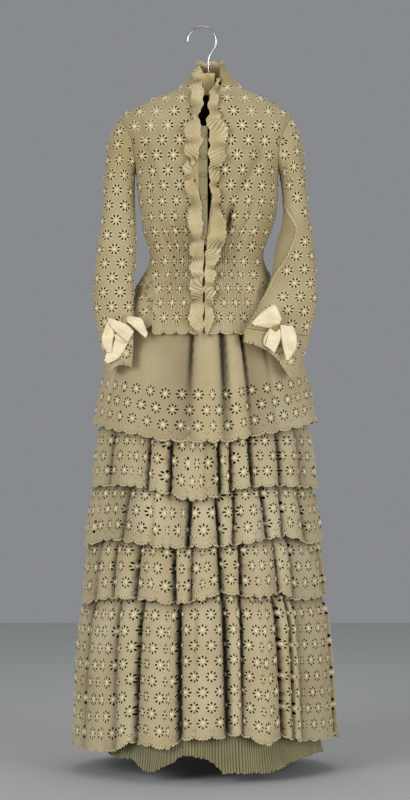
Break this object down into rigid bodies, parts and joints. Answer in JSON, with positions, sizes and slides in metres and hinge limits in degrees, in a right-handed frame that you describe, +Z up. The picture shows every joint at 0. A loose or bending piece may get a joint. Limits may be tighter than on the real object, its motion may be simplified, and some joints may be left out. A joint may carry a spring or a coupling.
{
  "type": "morning dress on a padded hanger",
  "caption": "Two-piece morning dress of eyelet cotton with a frilled front, bows at the cuffs and a tiered skirt, hung on a padded hanger.",
  "frame": {"origin": "the inner top of the hanger's hook, where it rests on a rail", "axes": "+Z up, +X to the right of someone who faces the dress, -Y out of the dress's front"},
  "size_m": [0.5242, 0.4884, 1.4276],
  "materials": {
    "eyelet_cotton": "grey-beige cotton muslin with cream eyelet embroidery",
    "plain_cotton": "plain grey-green cotton",
    "ecru_frill": "knife-pleated ecru cotton",
    "cream_satin": "cream satin ribbon",
    "beech": "bare beech",
    "white_muslin": "white muslin over wadding",
    "chromed_steel": "bright wire"
  },
  "bodies": {
    "root": {"bodice_front_left": "eyelet_cotton", "bodice_front_right": "eyelet_cotton", "bodice_back": "eyelet_cotton", "collar_band": "eyelet_cotton", "collar_frill": "ecru_frill", "front_frill_left": "ecru_frill", "front_frill_right": "ecru_frill", "button_placket": "plain_cotton", "button_1": "ecru_frill", "button_2": "ecru_frill", "button_3": "ecru_frill", "button_4": "ecru_frill", "button_5": "ecru_frill", "sleeve_left": "eyelet_cotton", "sleeve_right": "eyelet_cotton", "cuff_frill_left": "eyelet_cotton", "cuff_frill_right": "eyelet_cotton", "bow_left": "cream_satin", "bow_right": "cream_satin", "foundation_skirt": "plain_cotton", "overskirt": "eyelet_cotton", "flounce_2": "eyelet_cotton", "flounce_3": "eyelet_cotton", "flounce_4": "eyelet_cotton", "flounce_5": "eyelet_cotton", "dust_ruffle": "plain_cotton", "hanger_block": "beech", "pad_left": "white_muslin", "pad_right": "white_muslin", "hook": "chromed_steel"}
  },
  "joints": []
}
